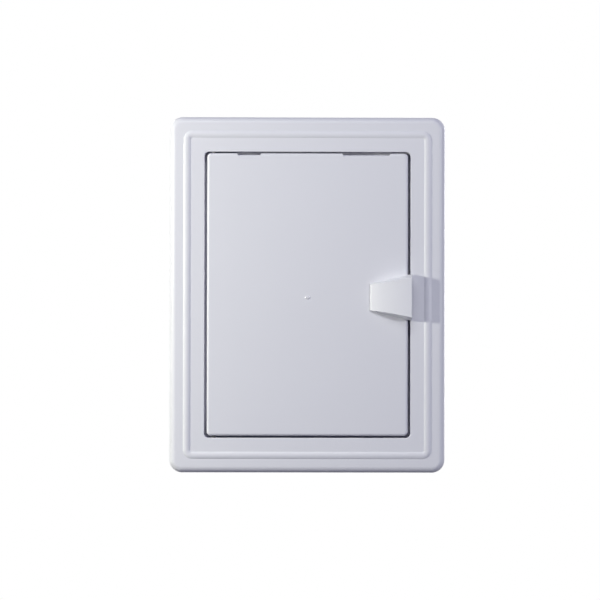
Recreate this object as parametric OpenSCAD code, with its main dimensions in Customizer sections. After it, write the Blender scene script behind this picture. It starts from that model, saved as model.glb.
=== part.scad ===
// Moulded plastic access hatch: a rolled flange frame with a bead, a side-hung door and a pull handle.
// Drawn flat with x to the right, y up and z towards the viewer, then stood upright.
// The wall's face is z = 0, and the middle of the hatch is the origin.

/* [Opening] */
// Width of the door opening in the flange
opening_w = 128.5; // [100:0.5:300]
// Height of the door opening in the flange
opening_h = 178.5; // [120:0.5:400]
// Corner radius of the door opening
opening_r = 2.8; // [1.5:0.1:6]
// Rounding of the opening's front edge
lip_round = 0.6; // [0.4:0.1:0.9]

/* [Flange] */
// Width of the border between the opening and the flange's outer edge
border_w = 21.75; // [20:0.25:40]
// How far the flange's face stands off the wall
flange_rise = 5.5; // [4.5:0.1:8]
// Thickness of the flange's moulded walls
flange_wall = 2.2; // [1.8:0.1:2.8]
// Corner radius of the flange, seen from the front
flange_r = 8; // [5:0.5:16]
// Radius of the roll along the flange's outer edge
edge_roll = 4; // [3:0.1:4.4]

/* [Bead] */
// Distance from the flange's outer edge to the middle of the bead
bead_inset = 10.8; // [8:0.1:12]
// Width of the raised bead
bead_w = 4.5; // [3:0.1:6]
// Height of the raised bead
bead_rise = 0.75; // [0.5:0.05:1.5]
// Corner radius of the bead's crest
bead_r = 3.2; // [3.2:0.1:8]

/* [Collar] */
// Room behind the flange between the opening and the collar
collar_room = 7.75; // [7:0.25:10]
// Thickness of the collar's walls
collar_wall = 2; // [1.5:0.1:3]
// How far the collar reaches into the wall
collar_depth = 25; // [22:1:60]
// Corner radius of the collar's outside
collar_r = 5; // [4:0.5:10]
// Diameter of the fixing holes in the collar's sides
fixing_d = 4.2; // [3:0.1:6]
// Distance between the two fixing holes of one side
fixing_pitch = 120; // [60:1:160]
// Distance from the wall's face to the fixing holes
fixing_depth = 16; // [12:0.5:18]
// Thickness of the stiffening ribs of both mouldings
rib_t = 1.4; // [0.8:0.1:2]
// Largest distance between neighbouring flange ribs
rib_pitch = 36; // [20:1:60]

/* [Door seat] */
// How far the door's stop reaches inwards from the opening
stop_w = 5; // [4:0.1:7]
// Thickness of the stop
stop_t = 2; // [1.5:0.1:3]
// Room between the shut door and its stop
seat_gap = 0.3; // [0.2:0.05:0.6]

/* [Door] */
// Gap beside the door's hinged edge
gap_hinge = 1.6; // [1.5:0.1:3]
// Gap beside the door's free edge
gap_free = 1.5; // [1:0.1:3]
// Gap above the door
gap_top = 0.9; // [0.8:0.1:2]
// Gap below the door
gap_bottom = 1.3; // [0.8:0.1:2]
// How far the door's face stands proud of the flange
door_proud = 1; // [0:0.1:1.5]
// Depth of the door from its face to the back of its rim
door_depth = 8.5; // [8:0.1:10]
// Thickness of the door's skin
skin_t = 2.2; // [1.8:0.1:2.6]
// Thickness of the door's rim
rim_t = 1.8; // [1.6:0.1:2.4]
// Rounding of the door's front edge
door_round = 1.0; // [0.8:0.1:2]
// Corner radius of the door
door_r = 2.5; // [2.2:0.1:5]
// Height of the ribs behind the door's skin
door_rib_h = 2.6; // [1:0.1:3]

/* [Notches in the door's top edge] */
// Depth of both notches
notch_depth = 1.2; // [0.6:0.1:1.5]
// Distance of each notch's middle from the door's middle
notch_offset = 36.6; // [30:0.1:40]
// Width of the notch nearer the hinge
notch_short = 15.6; // [6:0.1:24]
// Width of the notch nearer the free edge
notch_long = 30.6; // [10:0.1:32]
// How much each notch narrows at either end
notch_slant = 1; // [0.2:0.1:2]

/* [Hinge] */
// Diameter of the hinge pins
pin_d = 2.5; // [2:0.1:3]
// Distance from the door's hinged edge to the hinge line
pin_inset = 4.3; // [4:0.1:5]
// Distance from the door's face back to the hinge line
pin_back = 3.5; // [3.2:0.1:4]
// Length of each pin held in the frame
pin_held = 6; // [4:0.1:6.5]
// Length of each pin inside the door
pin_reach = 8; // [5:0.1:12]
// Running clearance around the hinge pins and the latch's trunnions
turn_gap = 0.05; // [0.02:0.01:0.1]
// Thickness of the plastic around the hinge and latch bores
boss_wall = 1.75; // [1.5:0.05:2]

/* [Pull handle] */
// Length of the handle from its low end to its tip
handle_l = 25.6; // [22:0.1:30]
// How far the tip reaches past the door's free edge
handle_over = 2; // [0:0.1:2.5]
// Height of the handle's middle above the middle of the hatch
handle_y = -1.5; // [-20:0.5:20]
// Height of the face above the door at the low end
handle_low = 1.2; // [1:0.1:2]
// Height of the face above the door at the tip
handle_high = 9.5; // [9:0.1:14]
// Width of the face at the low end
face_low_w = 16.3; // [14:0.1:20]
// Width of the face at the tip
face_tip_w = 25; // [21:0.1:32]
// Sideways lean of the cheeks per unit of height
cheek_lean = 0.22; // [0:0.01:0.4]
// Thickness of the cheeks beside the finger hollow, measured at the tip's face
cheek_t = 2.0; // [1.6:0.1:3]
// Height of the face's arch above a straight line from the low end to the tip
face_bulge = 1.4; // [0.6:0.1:1.8]
// Length of the finger hollow under the handle's tip
hollow_l = 11.2; // [9:0.1:12]
// Thickness of the handle's tip
tip_t = 1.6; // [1:0.1:2]
// How far the underside drops over the last stretch of the tip
tip_drop = 0.8; // [0.4:0.1:1.2]

/* [Handle screws] */
// Diameter of the screws' shanks
screw_d = 2.9; // [2.4:0.1:3.4]
// Diameter of the screws' heads
screw_head_d = 5.6; // [4.5:0.1:6]
// Height of the screws' heads
screw_head_h = 1.9; // [1.2:0.1:2.4]
// How far the screws reach into the handle
screw_bite = 3; // [2:0.1:3.2]
// Distance between the two screws
screw_pitch = 13; // [10:0.1:16]
// Room between the screws' heads and the latch's ears
screw_room = 1.4; // [0.5:0.1:2]
// Clearance around the screws in the door's skin
screw_gap = 0.2; // [0.1:0.05:0.4]

/* [Latch] */
// Height of the latch tongue's blade
latch_h = 12; // [8:0.5:20]
// Thickness of the blade
latch_t = 1.8; // [1.2:0.1:2.4]
// How far the latch's nose bites behind the stop
latch_bite = 1; // [0.5:0.05:1.3]
// Room between the nose and the back of the stop
latch_play = 0.3; // [0.2:0.05:0.6]
// Room between the blade and the edge of the stop
latch_side = 1.3; // [1.2:0.05:2]
// Length of the nose from the stop to the blade's end
nose_l = 4.6; // [3.5:0.1:7]
// Diameter of the latch's trunnions
trunnion_d = 2.8; // [2.2:0.1:3.2]
// Thickness of each ear that carries a trunnion
ear_t = 2.6; // [1.8:0.1:4]
// Room between the blade and each ear
ear_gap = 0.3; // [0.2:0.05:0.6]

/* [Hidden] */
$fn = 64;
// Overlap that makes joined shapes one solid, and cuts run clear of a face
bond = 0.5;
// Sizes that follow from the opening
flange_w = opening_w + 2 * border_w;
flange_h = opening_h + 2 * border_w;
collar_in_w = opening_w + 2 * collar_room;
collar_in_h = opening_h + 2 * collar_room;
collar_w = collar_in_w + 2 * collar_wall;
collar_h = collar_in_h + 2 * collar_wall;
// The door's box
door_w = opening_w - gap_hinge - gap_free;
door_h = opening_h - gap_top - gap_bottom;
door_x = (gap_hinge - gap_free) / 2;
door_y = (gap_bottom - gap_top) / 2;
door_left = door_x - door_w / 2;
door_right = door_x + door_w / 2;
door_face = flange_rise + door_proud;
skin_back = door_face - skin_t;
rim_back = door_face - door_depth;
// The stop behind the door
stop_front = rim_back - seat_gap;
stop_back = stop_front - stop_t;
stop_edge = opening_w / 2 - stop_w;
stop_r = 2;
// The hinge line
hinge_x = door_left + pin_inset;
hinge_z = door_face - pin_back;
boss_r = pin_d / 2 + turn_gap + boss_wall;
// Behind the hinge line, the door's hinged edge stays inside the circle that clears the stop
tail_reach = sqrt(pow(hinge_z - stop_front - seat_gap, 2) - pow(pin_inset, 2));
// The handle's low end, and the lines of its cheeks at the door's face
handle_x = door_right + handle_over - handle_l;
foot_low_w = face_low_w + 2 * cheek_lean * handle_low;
foot_tip_w = face_tip_w + 2 * cheek_lean * handle_high;
cheek_splay = atan((foot_tip_w - foot_low_w) / 2 / handle_l);
cheek_tilt = atan(cheek_lean * cos(cheek_splay));
foot_l = handle_l - hollow_l;
// The circle that the handle's arched face follows
face_chord = sqrt(pow(handle_l, 2) + pow(handle_high - handle_low, 2));
face_r = (pow(face_chord / 2, 2) + pow(face_bulge, 2)) / (2 * face_bulge);
face_turn = atan((handle_high - handle_low) / handle_l);
face_mid_x = handle_l / 2 + (face_r - face_bulge) * sin(face_turn);
face_mid_z = (handle_low + handle_high) / 2 - (face_r - face_bulge) * cos(face_turn);
// The latch tongue's blade and trunnions, and the screws beside them
latch_x = stop_edge - latch_side - latch_t / 2;
ear_r = trunnion_d / 2 + turn_gap + boss_wall;
screw_x = latch_x - ear_r - screw_room - screw_head_d / 2;
trunnion_z = skin_back - trunnion_d / 2 - boss_wall;
nose_front = stop_back - latch_play;
trunnion_l = latch_h + 2 * (ear_gap + ear_t);

// Stands a piece drawn flat upright, with its front facing -Y
module upright() {
    rotate([90, 0, 0]) children();
}

// Flat rectangle with round corners
module rounded_rect(w, h, r) {
    square([w - 2 * r, h], center = true);
    square([w, h - 2 * r], center = true);
    for (sx = [-1, 1], sy = [-1, 1])
        translate([sx * (w / 2 - r), sy * (h / 2 - r)]) circle(r);
}

// Sweeps a profile around a rounded rectangle: the profile's x points outwards, its y to the front
module ring_sweep(w, h, r) {
    sides = [[w, h], [h, w], [w, h], [h, w]];
    for (k = [0:3])
        rotate(90 * k) {
            translate([r - sides[k][0] / 2, sides[k][1] / 2, 0])
                rotate([90, 0, 90]) linear_extrude(sides[k][0] - 2 * r) children();
            translate([sides[k][0] / 2 - r, sides[k][1] / 2 - r, 0])
                rotate_extrude(angle = 90) translate([r, 0]) children();
        }
}

// Slab with round corners whose front edge is rolled over
module rolled_slab(w, h, r, depth, roll) {
    linear_extrude(depth - roll) rounded_rect(w, h, r);
    linear_extrude(depth) rounded_rect(w - 2 * roll, h - 2 * roll, r - roll);
    translate([0, 0, depth - roll])
        ring_sweep(w - 2 * roll, h - 2 * roll, r - roll)
            union() {
                intersection() {
                    circle(roll);
                    square(roll);
                }
                translate([0, -bond]) square([roll, bond]);
            }
}

// Flat wall around a hollow
module tube_wall(w, h, r, t) {
    difference() {
        rounded_rect(w, h, r);
        rounded_rect(w - 2 * t, h - 2 * t, r - t);
    }
}

// The flange as a hollow shell, open at the back and cut away inside the opening's lip
module flange_shell() {
    difference() {
        rolled_slab(flange_w, flange_h, flange_r, flange_rise, edge_roll);
        translate([0, 0, -bond])
            rolled_slab(flange_w - 2 * flange_wall, flange_h - 2 * flange_wall, flange_r - flange_wall,
                        flange_rise - flange_wall + bond, edge_roll - flange_wall);
        translate([0, 0, -bond])
            linear_extrude(flange_rise + 2 * bond)
                rounded_rect(opening_w + flange_wall, opening_h + flange_wall, opening_r + flange_wall / 2);
    }
}

// The raised bead, a low arch in section
module bead() {
    arch_r = (pow(bead_w / 2, 2) + pow(bead_rise, 2)) / (2 * bead_rise);
    ring_sweep(flange_w - 2 * bead_inset, flange_h - 2 * bead_inset, bead_r)
        union() {
            intersection() {
                translate([0, flange_rise + bead_rise - arch_r]) circle(arch_r);
                translate([-bead_w / 2, flange_rise]) square([bead_w, bead_rise]);
            }
            translate([-bead_w / 2, flange_rise - bond]) square([bead_w, bond]);
        }
}

// The wall that runs back from the opening's edge to the stop, with its round front edge
module lip() {
    depth = flange_rise - stop_back;
    translate([0, 0, stop_back])
        ring_sweep(opening_w, opening_h, opening_r)
            union() {
                square([flange_wall, depth - lip_round]);
                translate([lip_round, 0]) square([flange_wall - lip_round, depth]);
                translate([lip_round, depth - lip_round]) circle(lip_round);
            }
}

// The stop that the shut door comes to rest in front of
module door_stop() {
    translate([0, 0, stop_back])
        linear_extrude(stop_t)
            difference() {
                rounded_rect(opening_w + flange_wall, opening_h + flange_wall, opening_r + flange_wall / 2);
                rounded_rect(opening_w - 2 * stop_w, opening_h - 2 * stop_w, stop_r);
            }
}

// The collar that goes into the wall
module collar() {
    translate([0, 0, -collar_depth])
        linear_extrude(collar_depth + flange_rise - flange_wall + bond)
            tube_wall(collar_w, collar_h, collar_r, collar_wall);
}

// A row of ribs between the flange's rim and the collar's outer face
module rib_row(run, rim, wall_face) {
    count = ceil(run / rib_pitch);
    height = flange_rise - flange_wall;
    for (k = [0:count])
        translate([-run / 2 + k * run / count - rib_t / 2, wall_face - bond, bond])
            cube([rib_t, rim - wall_face + 2 * bond, height]);
}

module flange_ribs() {
    for (turn = [0, 180])
        rotate(turn) {
            rib_row(collar_w - 4 * collar_r, flange_h / 2 - flange_wall, collar_h / 2);
            rotate(90) rib_row(collar_h - 4 * collar_r, flange_w / 2 - flange_wall, collar_w / 2);
        }
}

// Blocks behind the flange that hold the hinge pins
module pin_sockets() {
    back = hinge_z - boss_r;
    for (sy = [-1, 1])
        translate([hinge_x - boss_r, sy > 0 ? opening_h / 2 : -opening_h / 2 - collar_room - bond, back])
            cube([2 * boss_r, collar_room + bond, flange_rise - flange_wall + bond - back]);
}

// A bar along y with its middle at a height, used for bores and pins
module bar_y(d, from, to) {
    translate([0, from, 0]) rotate([-90, 0, 0]) cylinder(d = d, h = to - from);
}

module pin_bores() {
    for (sy = [-1, 1])
        translate([hinge_x, 0, hinge_z])
            bar_y(pin_d, sy > 0 ? opening_h / 2 - bond : -opening_h / 2 - pin_held,
                  sy > 0 ? opening_h / 2 + pin_held : -opening_h / 2 + bond);
}

module fixing_holes() {
    for (sy = [-1, 1], sx = [-1, 1])
        translate([sx * (collar_w - collar_wall) / 2, sy * fixing_pitch / 2, -fixing_depth])
            rotate([0, 90, 0]) cylinder(d = fixing_d, h = collar_wall + 2 * bond, center = true);
}

module frame() {
    color("whitesmoke")
        upright()
            difference() {
                union() {
                    flange_shell();
                    bead();
                    lip();
                    door_stop();
                    collar();
                    flange_ribs();
                    pin_sockets();
                }
                pin_bores();
                fixing_holes();
            }
}

module upper_hinge_pin() {
    color("silver")
        upright()
            translate([hinge_x, 0, hinge_z])
                bar_y(pin_d, opening_h / 2 - gap_top - pin_reach, opening_h / 2 + pin_held);
}

module lower_hinge_pin() {
    color("silver")
        upright()
            translate([hinge_x, 0, hinge_z])
                bar_y(pin_d, -opening_h / 2 - pin_held, -opening_h / 2 + gap_bottom + pin_reach);
}

// The door's skin and rim, before anything is cut in them
module door_pan() {
    translate([door_x, door_y, rim_back])
        difference() {
            rolled_slab(door_w, door_h, door_r, door_depth, door_round);
            translate([0, 0, -bond])
                linear_extrude(door_depth - skin_t + bond)
                    rounded_rect(door_w - 2 * rim_t, door_h - 2 * rim_t, door_r - rim_t);
        }
}

// A shallow notch with slanted ends in the door's top edge
module notch(middle, width) {
    top = door_y + door_h / 2;
    translate([middle, top, rim_back - bond])
        linear_extrude(door_depth + 2 * bond)
            polygon([
                [-width / 2 - notch_slant * bond / notch_depth, bond],
                [-width / 2 + notch_slant, -notch_depth],
                [width / 2 - notch_slant, -notch_depth],
                [width / 2 + notch_slant * bond / notch_depth, bond],
            ]);
}

// The low crossing ribs behind the skin
module door_ribs() {
    in_w = door_w - 2 * rim_t + bond;
    in_h = door_h - 2 * rim_t + bond;
    translate([door_x, door_y, skin_back - door_rib_h])
        linear_extrude(door_rib_h + bond) {
            for (sx = [-1, 1])
                translate([sx * in_w / 6, 0]) square([rib_t, in_h], center = true);
            for (sy = [-3, -1, 1, 3])
                translate([0, sy * in_h / 8]) square([in_w, rib_t], center = true);
        }
}

// The bosses at the ends of the hinged edge that turn on the pins
module hinge_bosses() {
    length = pin_reach + boss_wall;
    for (sy = [-1, 1])
        translate([hinge_x, door_y + sy * (door_h - length) / 2, 0]) {
            translate([0, 0, hinge_z]) bar_y(2 * boss_r, -length / 2, length / 2);
            translate([-boss_r, -length / 2, hinge_z]) cube([2 * boss_r, length, skin_back - hinge_z + bond]);
        }
}

module hinge_bores() {
    top = door_y + door_h / 2;
    bottom = door_y - door_h / 2;
    translate([hinge_x, 0, hinge_z]) {
        bar_y(pin_d + 2 * turn_gap, top - pin_reach - seat_gap, top + bond);
        bar_y(pin_d + 2 * turn_gap, bottom - bond, bottom + pin_reach + seat_gap);
    }
}

// The part of the rim that would swing into the stop as the door opens
module hinge_relief() {
    translate([door_left - bond, door_y - door_h / 2 - bond, rim_back - bond])
        cube([pin_inset + bond, door_h + 2 * bond, hinge_z - tail_reach - rim_back + bond]);
}

// The two ears that carry the latch tongue
module latch_ears() {
    for (sy = [-1, 1])
        translate([latch_x, handle_y + sy * (latch_h / 2 + ear_gap + ear_t / 2), trunnion_z]) {
            bar_y(2 * ear_r, -ear_t / 2, ear_t / 2);
            translate([-ear_r, -ear_t / 2, 0]) cube([2 * ear_r, ear_t, skin_back - trunnion_z + bond]);
        }
}

module latch_bores() {
    translate([latch_x, handle_y, trunnion_z])
        bar_y(trunnion_d + 2 * turn_gap, -trunnion_l / 2 - bond, trunnion_l / 2 + bond);
}

// Places something at each of the two handle screws
module at_screws() {
    for (sy = [-1, 1])
        translate([screw_x, handle_y + sy * screw_pitch / 2, 0]) children();
}

module door_leaf() {
    color("white")
        upright()
            difference() {
                union() {
                    door_pan();
                    difference() {
                        door_ribs();
                        latch_room();
                    }
                    hinge_bosses();
                    latch_ears();
                }
                notch(door_x - notch_offset, notch_short);
                notch(door_x + notch_offset, notch_long);
                hinge_relief();
                hinge_bores();
                latch_bores();
                at_screws() translate([0, 0, skin_back - bond])
                    cylinder(d = screw_d + 2 * screw_gap, h = skin_t + 2 * bond);
            }
}

// The space behind the skin that the ribs leave free for the screws and the latch
module latch_room() {
    half = trunnion_l / 2 + ear_gap;
    from = screw_x - screw_head_d / 2 - ear_gap;
    translate([from, handle_y - half, skin_back - door_rib_h - bond])
        cube([door_right - rim_t - from, 2 * half, door_rib_h + bond]);
}

// The handle's side view under its arched face
module handle_profile() {
    intersection() {
        square([handle_l, handle_high + face_bulge]);
        translate([face_mid_x, face_mid_z]) circle(face_r);
    }
}

// The hollow between the cheeks that a finger reaches into from the tip
module finger_hollow() {
    width = face_tip_w - 2 * cheek_t;
    translate([0, width / 2, 0])
        rotate([90, 0, 0])
            linear_extrude(width)
                polygon([
                    [foot_l, -bond],
                    [foot_l, 0],
                    [handle_l - tip_t, handle_high - tip_t - tip_drop],
                    [handle_l, handle_high - tip_t],
                    [handle_l + bond, handle_high - tip_t],
                    [handle_l + bond, -bond],
                ]);
}

// Everything outside one leaning cheek of the handle
module beyond_cheek() {
    big = 4 * handle_l;
    translate([0, foot_low_w / 2, 0])
        rotate([cheek_tilt, 0, cheek_splay])
            translate([-big / 2, 0, -big / 2]) cube(big);
}

module pull_handle() {
    color("white")
        upright()
            difference() {
                translate([handle_x, handle_y, door_face])
                    difference() {
                        translate([0, foot_tip_w / 2, 0])
                            rotate([90, 0, 0]) linear_extrude(foot_tip_w) handle_profile();
                        beyond_cheek();
                        mirror([0, 1, 0]) beyond_cheek();
                        finger_hollow();
                    }
                at_screws() translate([0, 0, door_face - bond])
                    cylinder(d = screw_d, h = screw_bite + bond);
            }
}

module handle_screws() {
    color("silver")
        upright()
            at_screws() {
                translate([0, 0, skin_back - screw_head_h]) cylinder(d = screw_head_d, h = screw_head_h);
                translate([0, 0, skin_back - bond])
                    cylinder(d = screw_d, h = skin_t + screw_bite + bond);
            }
}

// The sprung tongue behind the handle: a blade on trunnions with a nose that catches the stop
module latch_tongue() {
    nose_x = stop_edge + latch_bite - latch_x;
    back = nose_front - nose_l - trunnion_z;
    front = nose_front - trunnion_z;
    color("gainsboro")
        upright()
            translate([latch_x, handle_y, trunnion_z]) {
                bar_y(trunnion_d, -trunnion_l / 2, trunnion_l / 2);
                translate([0, latch_h / 2, 0])
                    rotate([90, 0, 0])
                        linear_extrude(latch_h) {
                            translate([-latch_t / 2, back]) square([latch_t, -back]);
                            polygon([
                                [0, front],
                                [latch_t / 2, front],
                                [nose_x, front - latch_bite / 2],
                                [nose_x, front - latch_bite],
                                [latch_t / 2, back],
                                [0, back],
                            ]);
                        }
            }
}

frame();
upper_hinge_pin();
lower_hinge_pin();
door_leaf();
pull_handle();
handle_screws();
latch_tongue();
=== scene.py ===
"""Fine meshes, finishes and light for a moulded access hatch with a side-hung door."""

import logging
import math
from dataclasses import dataclass, field
from enum import Enum
from typing import Sequence

import bmesh
import bpy
from mathutils import Matrix, Vector


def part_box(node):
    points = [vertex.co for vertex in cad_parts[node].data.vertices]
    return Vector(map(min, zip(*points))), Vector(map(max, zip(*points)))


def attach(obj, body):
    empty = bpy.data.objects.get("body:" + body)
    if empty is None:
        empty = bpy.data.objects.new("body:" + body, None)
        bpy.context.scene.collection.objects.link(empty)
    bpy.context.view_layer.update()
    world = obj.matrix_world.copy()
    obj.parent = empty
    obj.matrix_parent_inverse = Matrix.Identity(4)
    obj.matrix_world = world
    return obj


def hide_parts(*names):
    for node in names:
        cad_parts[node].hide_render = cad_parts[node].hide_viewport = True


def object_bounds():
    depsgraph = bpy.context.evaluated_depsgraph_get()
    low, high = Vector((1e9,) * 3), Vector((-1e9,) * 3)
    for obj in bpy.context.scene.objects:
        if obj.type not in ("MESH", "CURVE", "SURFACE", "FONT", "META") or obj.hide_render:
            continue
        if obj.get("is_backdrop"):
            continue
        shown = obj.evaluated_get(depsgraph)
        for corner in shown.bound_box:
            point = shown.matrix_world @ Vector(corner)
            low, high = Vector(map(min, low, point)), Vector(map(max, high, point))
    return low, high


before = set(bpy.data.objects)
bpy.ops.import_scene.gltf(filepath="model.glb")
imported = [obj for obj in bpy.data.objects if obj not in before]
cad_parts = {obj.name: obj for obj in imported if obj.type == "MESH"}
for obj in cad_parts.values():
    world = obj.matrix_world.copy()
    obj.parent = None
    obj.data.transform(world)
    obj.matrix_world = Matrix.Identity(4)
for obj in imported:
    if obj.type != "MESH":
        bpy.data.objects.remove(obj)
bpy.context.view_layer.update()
LOG = logging.getLogger("access_hatch")
MM = 0.001
SMALLEST_CORNER = 0.2
Point2 = tuple[float, float]
Colour = tuple[float, float, float]


class Body(Enum):
    """The bodies that move against each other."""

    SURROUND = "surround"
    DOOR = "door"
    LATCH = "latch"


class Slot(Enum):
    """The record's material slots."""

    FRAME = "frame_plastic"
    DOOR = "door_plastic"
    HANDLE = "handle_plastic"
    LATCH = "latch_plastic"
    PINS = "pin_steel"
    SCREWS = "screw_steel"


class Cut(Enum):
    """What a tool shape does to the piece it meets."""

    ADD = "UNION"
    REMOVE = "DIFFERENCE"


def place(x: float, z: float, front: float) -> Vector:
    """Turns millimetres (right, up, towards the viewer) into a scene point."""
    return Vector((x, -front, z)) * MM


# Shapes


@dataclass(frozen=True)
class Ring:
    """One rounded rectangle of a loft, parallel to the wall, in millimetres.

    Attributes:
        half_w: Half the width.
        half_h: Half the height.
        corner: Corner radius.
        front: Height above the wall's face.
    """

    half_w: float
    half_h: float
    corner: float
    front: float

    def points(self, steps: int) -> list[Vector]:
        """Walks the ring once, starting at its upper right corner.

        Args:
            steps: Steps along each corner's arc.

        Returns:
            The ring's points in the scene.
        """
        found: list[Vector] = []
        for quarter, (sx, sz) in enumerate(((1, 1), (-1, 1), (-1, -1), (1, -1))):
            middle_x = sx * (self.half_w - self.corner)
            middle_z = sz * (self.half_h - self.corner)
            for step in range(steps + 1):
                turn = math.radians(90 * (quarter + step / steps))
                x = middle_x + self.corner * math.cos(turn)
                z = middle_z + self.corner * math.sin(turn)
                found.append(place(x, z, self.front))
        return found


@dataclass(frozen=True)
class Bend:
    """A corner of a moulding's section, with its rounding.

    Attributes:
        inset: Distance inwards from the moulding's outer edge.
        front: Height above the wall's face.
        corner: Corner radius of the moulding at this bend, seen from the front.
        rounding: Radius of the bend in the section.
        steps: Facets along the rounding.
    """

    inset: float
    front: float
    corner: float
    rounding: float = 0.0
    steps: int = 4


def rounded_section(bends: Sequence[Bend], closed: bool) -> list[Bend]:
    """Replaces each bend of a section with the points of its rounding.

    Args:
        bends: The section's corners in order.
        closed: Whether the last corner runs on to the first.

    Returns:
        Sharp points along the rounded section.
    """
    points: list[Bend] = []
    count = len(bends)
    for k, bend in enumerate(bends):
        inner = closed or 0 < k < count - 1
        if not bend.rounding or not inner:
            points.append(Bend(bend.inset, bend.front, bend.corner))
            continue
        here = Vector((bend.inset, bend.front))
        before = bends[k - 1]
        after = bends[(k + 1) % count]
        to_before = (Vector((before.inset, before.front)) - here).normalized()
        to_after = (Vector((after.inset, after.front)) - here).normalized()
        half = to_before.angle(to_after) / 2
        reach = bend.rounding / math.tan(half)
        centre = here + (to_before + to_after).normalized() * bend.rounding / math.sin(half)
        start = here + to_before * reach - centre
        finish = here + to_after * reach - centre
        sweep = start.angle_signed(finish)
        for step in range(bend.steps + 1):
            spoke = start.copy()
            spoke.rotate(Matrix.Rotation(-sweep * step / bend.steps, 2))
            spot = centre + spoke
            points.append(Bend(spot.x, spot.y, bend.corner + bend.inset - spot.x))
    return points


def rings_of(section: Sequence[Bend], half_w: float, half_h: float) -> list[Ring]:
    """Carries a section around a rounded rectangle.

    Args:
        section: The sharp points of the section.
        half_w: Half the width of the rectangle, in millimetres.
        half_h: Half its height.

    Returns:
        One ring for each point.
    """
    return [
        Ring(half_w - bend.inset, half_h - bend.inset, max(bend.corner, SMALLEST_CORNER), bend.front)
        for bend in section
    ]


def loft(rings: Sequence[Ring], steps: int, closed: bool) -> bmesh.types.BMesh:
    """Skins a row of rings.

    Args:
        rings: The rings in order.
        steps: Steps along each ring's corner arcs.
        closed: Whether the last ring joins the first; otherwise both ends are capped.

    Returns:
        The closed mesh.
    """
    mesh = bmesh.new()
    rows = [[mesh.verts.new(p) for p in ring.points(steps)] for ring in rings]
    pairs = list(zip(rows, rows[1:]))
    if closed:
        pairs.append((rows[-1], rows[0]))
    for row, following in pairs:
        for k in range(len(row)):
            after = (k + 1) % len(row)
            mesh.faces.new((row[k], row[after], following[after], following[k]))
    if not closed:
        mesh.faces.new(rows[0])
        mesh.faces.new(rows[-1])
    bmesh.ops.recalc_face_normals(mesh, faces=mesh.faces)
    return mesh


def block(low: Vector, high: Vector) -> bmesh.types.BMesh:
    """Makes a box between two points of the scene.

    Args:
        low: One corner.
        high: The opposite corner.

    Returns:
        The closed mesh.
    """
    mesh = bmesh.new()
    bmesh.ops.create_cube(mesh, size=1)
    size = high - low
    shape = Matrix.Translation((low + high) / 2) @ Matrix.Diagonal((*map(abs, size), 1))
    mesh.transform(shape)
    return mesh


def rod(start: Vector, end: Vector, radius: float, segments: int = 48) -> bmesh.types.BMesh:
    """Makes a round bar between two points of the scene.

    Args:
        start: Middle of one end.
        end: Middle of the other end.
        radius: Radius in millimetres.
        segments: Facets around the bar.

    Returns:
        The closed mesh.
    """
    mesh = bmesh.new()
    along = end - start
    turn = along.to_track_quat("Z", "Y").to_matrix().to_4x4()
    bmesh.ops.create_cone(
        mesh,
        cap_ends=True,
        segments=segments,
        radius1=radius * MM,
        radius2=radius * MM,
        depth=along.length,
        matrix=Matrix.Translation((start + end) / 2) @ turn,
    )
    return mesh


def turned(profile: Sequence[Point2], segments: int = 48) -> bmesh.types.BMesh:
    """Spins a profile around Z.

    Args:
        profile: Points of radius and height in millimetres, from the axis back to the axis.
        segments: Facets around the axis.

    Returns:
        The closed mesh.
    """
    mesh = bmesh.new()
    rows: list[list[bmesh.types.BMVert]] = []
    for radius, height in profile:
        if radius == 0:
            rows.append([mesh.verts.new((0, 0, height * MM))])
            continue
        turns = [2 * math.pi * k / segments for k in range(segments)]
        spots = [Vector((radius * math.cos(turn), radius * math.sin(turn), height)) for turn in turns]
        rows.append([mesh.verts.new(spot * MM) for spot in spots])
    for row, following in zip(rows, rows[1:]):
        for k in range(segments):
            after = (k + 1) % segments
            corners = [row[k % len(row)], row[after % len(row)]]
            corners += [following[after % len(following)], following[k % len(following)]]
            mesh.faces.new(list(dict.fromkeys(corners)))
    bmesh.ops.recalc_face_normals(mesh, faces=mesh.faces)
    return mesh


def prism(near: Sequence[Vector], far: Sequence[Vector]) -> bmesh.types.BMesh:
    """Skins the space between two matching outlines.

    Args:
        near: Points around one end.
        far: Points around the other end, in the same order.

    Returns:
        The closed mesh.
    """
    mesh = bmesh.new()
    ends = [[mesh.verts.new(point) for point in outline] for outline in (near, far)]
    for k in range(len(near)):
        after = (k + 1) % len(near)
        mesh.faces.new((ends[0][k], ends[0][after], ends[1][after], ends[1][k]))
    for end in ends:
        mesh.faces.new(end)
    bmesh.ops.recalc_face_normals(mesh, faces=mesh.faces)
    return mesh


def joined(shapes: Sequence[bmesh.types.BMesh]) -> bmesh.types.BMesh:
    """Puts several meshes into one.

    Args:
        shapes: The meshes, which are used up.

    Returns:
        The mesh of them all.
    """
    whole = bmesh.new()
    for shape in shapes:
        part = bpy.data.meshes.new("part")
        shape.to_mesh(part)
        shape.free()
        whole.from_mesh(part)
        bpy.data.meshes.remove(part)
    return whole


def new_piece(name: str, shape: bmesh.types.BMesh) -> bpy.types.Object:
    """Makes a scene object from a mesh.

    Args:
        name: The object's name.
        shape: The mesh, which is used up.

    Returns:
        The new object.
    """
    data = bpy.data.meshes.new(name)
    shape.to_mesh(data)
    shape.free()
    piece = bpy.data.objects.new(name, data)
    bpy.context.scene.collection.objects.link(piece)
    return piece


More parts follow.
